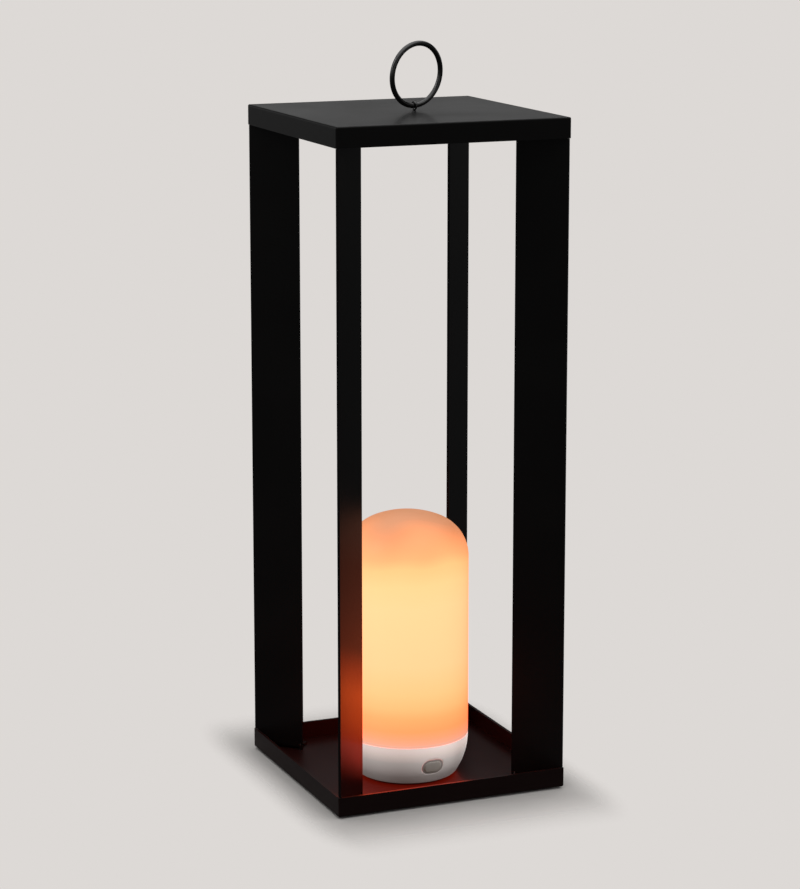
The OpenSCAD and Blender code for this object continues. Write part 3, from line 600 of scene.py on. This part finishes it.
leg_height = np.concatenate([np.linspace(loop[-1][2], leg_drop, LEG_STEPS + 1)[1:],
                             leg_drop - EYE_WIRE * np.sin(bend), [foot_drop]])
right_leg = np.outer(leg_across, eye_across) + np.outer(leg_height, upright)
left_leg = np.outer(-leg_across, eye_across) + np.outer(leg_height, upright)
pin = eye_middle + np.vstack([right_leg[::-1], loop, left_leg])
eye = new_piece("eye_wire", swept(pin, ring_across, EYE_WIRE / 2, EYE_AROUND))
put(eye, wire_black, "ring_eye")

# %% [markdown]
# ## The diffuser
#
# The diffuser is one turned shell: a flat crown and a shoulder whose arcs share a tangent, a
# straight side, then the neck that slips into the base, and back up inside. Its lower edge is
# broken by a small radius, so a thin shadow line shows between it and the base, as in any moulding
# that meets another one.

# %% Diffuser
LAMP_R = 46 * MM
WALL = 2 * MM
SHOULDER_R = 31 * MM
DOME_H = 34 * MM
NECK_L = 4 * MM
NECK_INSET = 2.35 * MM
NECK_R = LAMP_R - NECK_INSET
EDGE_R = 0.45 * MM
CROWN_STEPS, SIDE_STEPS, EDGE_STEPS, AROUND = 14, 34, 6, 128


def arc(centre, radius, start, end, count):
    """Points at the centre plus the radius times (cos a, sin a), for angle a from start to end."""
    a = np.radians(np.linspace(start, end, count))
    return np.stack([centre[0] + radius * np.cos(a), centre[1] + radius * np.sin(a)], axis=1)


def dome_profile(inset):
    """Crown arc from the axis to the shoulder, then the shoulder arc down to the straight side. The
    crown's radius is the one at which both arcs have the same tangent where they meet."""
    rise = 2 * (DOME_H - SHOULDER_R)
    crown_r = (LAMP_R**2 + DOME_H**2 - 2 * LAMP_R * SHOULDER_R) / rise
    shoulder = (LAMP_R - SHOULDER_R, CROWN - DOME_H)
    turn = math.degrees(math.atan2(shoulder[0], shoulder[1] - (CROWN - crown_r)))
    crown = arc((0, CROWN - crown_r), crown_r - inset, 90, 90 - turn, CROWN_STEPS)
    side = arc(shoulder, SHOULDER_R - inset, 90 - turn, 0, 2 * CROWN_STEPS)
    crown[0, 0] = 0
    return np.vstack([crown[:-1], side])


side_rows = np.linspace(CROWN - DOME_H, SEAM + EDGE_R, SIDE_STEPS)[1:-1]
neck_in = NECK_R - WALL
outside = np.vstack([
    dome_profile(0),
    np.stack([np.full(len(side_rows), LAMP_R), side_rows], axis=1),
    arc((LAMP_R - EDGE_R, SEAM + EDGE_R), EDGE_R, 0, -90, EDGE_STEPS),
    [[NECK_R, SEAM], [NECK_R, SEAM - NECK_L], [neck_in, SEAM - NECK_L], [neck_in, SEAM + WALL]],
    [[LAMP_R - WALL, SEAM + 2 * WALL]],
])
inside = dome_profile(WALL)[::-1]
lamp_foot = (LAMP_AXIS.x, LAMP_AXIS.y, 0)
shell = new_piece("diffuser_shell", turned(np.vstack([outside, inside]), AROUND, lamp_foot))
put(shell, opal, "diffuser")

# %% [markdown]
# ## Base, button and rubber parts
#
# The base and what sits in it have cut-outs and steps, so each is a smoothed copy of its CAD part.

# %% Base, button and seal
SMOOTHED = ("lamp_base", "button_seal", "power_button", "rubber_foot", "foot_pads", "base_plate")
for node in SMOOTHED:
    put(smoothed(node), FINISH_OF_SLOT[slot_of_node[node]], node)

# %% [markdown]
# ## The studio
#
# The photograph was taken in front of an even warm grey. The world shows that grey to the camera
# only. Satin black shows little but reflections, so the sky decides how each face looks. It is
# bright overhead for soft shadows, and dark below and again from 12 to 25 degrees up, so that the
# upright faces and the tray's floor stay black. The cover's top mirrors a narrow bright band at the
# horizon behind it. All of it is dimmer to the right, where the photograph's metal is darkest.

# %% World
BACKDROP = (0.723, 0.694, 0.672)
SKY_STRENGTH = 1.2
SKY = [
    (0.0, 0.08), (0.42, 0.08), (0.47, 0.14), (0.515, 0.42), (0.56, 0.42),
    (0.60, 0.05), (0.70, 0.02), (0.80, 0.75), (1.0, 1.3),
]
DIM_START, DIM_END, DIM_TO = 0.5, 0.85, 0.45
world = bpy.data.worlds.new("studio")
bpy.context.scene.world = world
world.use_nodes = True
tree = world.node_tree
tree.nodes.clear()
path = add(tree, "ShaderNodeLightPath")
direction = add(tree, "ShaderNodeTexCoord").outputs["Generated"]
parts = add(tree, "ShaderNodeSeparateXYZ")
tree.links.new(direction, parts.inputs[0])
upward = add(tree, "ShaderNodeMapRange", From_Min_=-1.0, From_Max_=1.0)
tree.links.new(parts.outputs["Z"], upward.inputs["Value"])
sky = ramp(tree, upward.outputs["Result"], SKY)
sideways = add(tree, "ShaderNodeMapRange", From_Min_=DIM_START, From_Max_=DIM_END,
               To_Min_=1.0, To_Max_=DIM_TO)
tree.links.new(parts.outputs["X"], sideways.inputs["Value"])
shaded = add(tree, "ShaderNodeMix", data_type="RGBA", blend_type="MULTIPLY", Factor_=1.0)
tree.links.new(sky, shaded.inputs["A"])
tree.links.new(sideways.outputs["Result"], shaded.inputs["B"])
soft = add(tree, "ShaderNodeBackground", Strength_=SKY_STRENGTH)
tree.links.new(shaded.outputs["Result"], soft.inputs["Color"])
seen = add(tree, "ShaderNodeBackground", Color_=(*BACKDROP, 1))
either = add(tree, "ShaderNodeMixShader")
tree.links.new(path.outputs["Is Camera Ray"], either.inputs["Fac"])
tree.links.new(soft.outputs[0], either.inputs[1])
tree.links.new(seen.outputs[0], either.inputs[2])
tree.links.new(either.outputs[0], add(tree, "ShaderNodeOutputWorld").inputs["Surface"])
print("the sky has", len(SKY), "bands of height")

# %% [markdown]
# ## The floor
#
# The floor only has to hold the lantern's soft shadow. A large pale sheet would be mirrored by the
# black metal and make it grey. So the floor's seen tone is darker than the backdrop and fades into
# it by its distance from the tray, over 36 mm at the sides and 88 mm at the front and back, where
# the shadow reaches further: a painted soft shadow, which the real shadow darkens further close to
# the tray. Rays that don't come from the camera meet a darker tone, painted shade for the shadowed
# floor that the metal mirrors.

# %% Floor
FLOOR_HALF = 6.0
# Painted shadow: the seen tone is darker than the backdrop; the mirrored tone is painted shade.
FLOOR_SEEN_SHADOW_TONE = (0.497, 0.478, 0.462)
FLOOR_MIRRORED_SHADE = (0.22, 0.215, 0.21)
TRAY_HALF = 90 * MM
SHADOW_FADE_REACH = 36 * MM
DEPTH_SHARE = 0.41
floor_corners = np.array([[-1, -1, 0], [1, -1, 0], [1, 1, 0], [-1, 1, 0]]) * FLOOR_HALF
floor_mesh = bpy.data.meshes.new("floor")
floor_mesh.from_pydata(floor_corners.tolist(), [], [(0, 1, 2, 3)])
floor = bpy.data.objects.new("floor", floor_mesh)
bpy.context.scene.collection.objects.link(floor)
print("the floor fades out over", SHADOW_FADE_REACH, "m beside the tray")


# %% Floor's paper
def beyond(tree, place):
    """The distance of a place from a square: the length of (the greater of 0 and the absolute
    place minus the square's half), with the depth counted by its share."""
    for operation, value in (("ABSOLUTE", None), ("SUBTRACT", (TRAY_HALF, TRAY_HALF, 0)),
                             ("MAXIMUM", (0, 0, 0)), ("MULTIPLY", (1, DEPTH_SHARE, 0)),
                             ("LENGTH", None)):
        step = add(tree, "ShaderNodeVectorMath", operation=operation)
        tree.links.new(place, step.inputs[0])
        if value:
            step.inputs[1].default_value = value
        place = step.outputs["Value" if operation == "LENGTH" else "Vector"]
    return place


paper = bpy.data.materials.new("studio paper")
paper.use_nodes = True
tree = paper.node_tree
tree.nodes.clear()
flat = add(tree, "ShaderNodeBsdfDiffuse")
tone = add(tree, "ShaderNodeMix", data_type="RGBA")
camera_ray = add(tree, "ShaderNodeLightPath").outputs["Is Camera Ray"]
tree.links.new(camera_ray, tone.inputs["Factor"])
tone.inputs["A"].default_value = (*FLOOR_MIRRORED_SHADE, 1)
tone.inputs["B"].default_value = (*FLOOR_SEEN_SHADOW_TONE, 1)
tree.links.new(tone.outputs["Result"], flat.inputs["Color"])
# The fade from the darker tone to the backdrop paints the soft shadow round the tray.
shadow_fade = add(tree, "ShaderNodeMapRange", From_Min_=0.0, From_Max_=SHADOW_FADE_REACH,
           interpolation_type="SMOOTHSTEP")
distance = beyond(tree, add(tree, "ShaderNodeTexCoord").outputs["Object"])
tree.links.new(distance, shadow_fade.inputs["Value"])
gone = add(tree, "ShaderNodeBsdfTransparent")
either = add(tree, "ShaderNodeMixShader")
tree.links.new(shadow_fade.outputs["Result"], either.inputs["Fac"])
tree.links.new(flat.outputs[0], either.inputs[1])
tree.links.new(gone.outputs[0], either.inputs[2])
tree.links.new(either.outputs[0], add(tree, "ShaderNodeOutputMaterial").inputs["Surface"])
floor_mesh.materials.append(paper)
print("paper seen as", FLOOR_SEEN_SHADOW_TONE, "and mirrored as", FLOOR_MIRRORED_SHADE)

# %% [markdown]
# ## The soft boxes
#
# Two square lamps add to the sky. A large one up on the left gives the left faces their grey edge.
# A small low one on the right brightens the white base, its button and the floor, and is kept off
# the metal, which would show it as a streak. The dome and the left box are kept off the floor, so
# that it stays the plain grey of the photograph, with an even shadow on both sides.

# %% Soft boxes
def soft_box(name, place, aim, size, power):
    """A square area light at a place, turned towards the point that it aims at."""
    data = bpy.data.lights.new(name, "AREA")
    data.size = size
    data.energy = power
    lamp = bpy.data.objects.new(name, data)
    lamp.location = place
    lamp.rotation_euler = (Vector(aim) - Vector(place)).to_track_quat("-Z", "Y").to_euler()
    bpy.context.scene.collection.objects.link(lamp)
    print(name, "of", power, "W at", place)
    return lamp


left_box = soft_box("left box", place=(-2.2, 0.3, 1.5), aim=(0, 0, 0.3), size=1.2, power=12)
right_box = soft_box("right box", place=(1.6, -0.8, 0.2), aim=(0, 0, 0.02), size=0.8, power=14.5)


# %% Which light falls on what
def lit_by(light, name, pieces, only):
    """Limits a light or a glowing piece to these pieces, or keeps it off them."""
    group = bpy.data.collections.new(name)
    for piece in pieces:
        group.objects.link(piece)
    for row in group.collection_objects:
        row.light_linking.link_state = "INCLUDE" if only else "EXCLUDE"
    light.light_linking.receiver_collection = group


lamp_front = [bpy.data.objects[node + "_smooth"]
              for node in ("lamp_base", "button_seal", "power_button")]
lit_by(shell, "not lit by the lamp", [floor], only=False)
lit_by(left_box, "not lit by the left box", [floor], only=False)
lit_by(right_box, "lit by the right box", [floor, *lamp_front], only=True)
print("the right box falls on", [piece.name for piece in [floor, *lamp_front]])

# %% [markdown]
# ## The camera
#
# The lantern's corners in the photograph were matched to the model's corners to find where the
# camera stood: about two metres away, 23 degrees to the left of the front and a little above the
# cover, with a long lens. A small shift puts the lantern in the middle of the frame.

# %% Camera
LENS = 116.93
SHIFT_UP = -0.05
CAMERA_PLACE = (-0.8134, -1.9367, 0.7049)
CAMERA_TILT = math.radians(78.702)
CAMERA_TURN = math.radians(-22.664)
camera_data = bpy.data.cameras.new("camera")
camera_data.lens = LENS
camera_data.shift_y = SHIFT_UP
camera_data.clip_start, camera_data.clip_end = 0.05, 50
camera = bpy.data.objects.new("camera", camera_data)
camera.location = CAMERA_PLACE
camera.rotation_euler = (CAMERA_TILT, 0, CAMERA_TURN)
bpy.context.scene.collection.objects.link(camera)
bpy.context.scene.camera = camera
bpy.context.scene.view_settings.view_transform = "Standard"
print("camera", round(camera.location.length, 2), "m from the lantern's foot")
